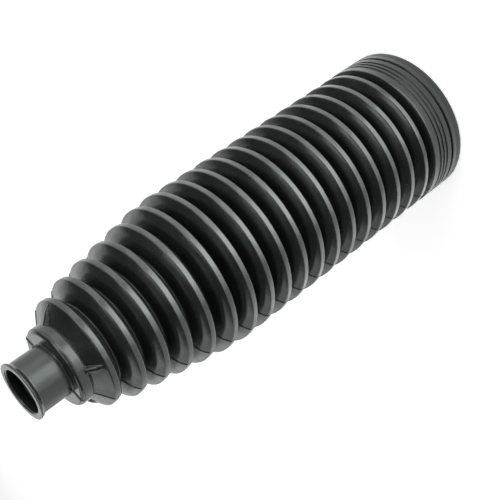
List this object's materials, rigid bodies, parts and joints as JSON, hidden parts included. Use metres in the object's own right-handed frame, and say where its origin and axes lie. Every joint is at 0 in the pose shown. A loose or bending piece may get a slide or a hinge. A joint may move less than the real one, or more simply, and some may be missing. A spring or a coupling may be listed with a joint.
{
  "type": "steering rack boot",
  "caption": "Tapered rubber bellows with a small and a large clamp cuff that seals a steering rack's end round its tie rod.",
  "frame": {"origin": "centre of the large cuff's end face, which the boot stands on", "axes": "+Z along the boot's axis from the large cuff to the small cuff, X in the mould's parting plane"},
  "size_m": [0.0604, 0.0604, 0.19],
  "materials": {
    "rubber": "satin black moulded rubber"
  },
  "bodies": {
    "root": {"boot": "rubber"}
  },
  "joints": []
}
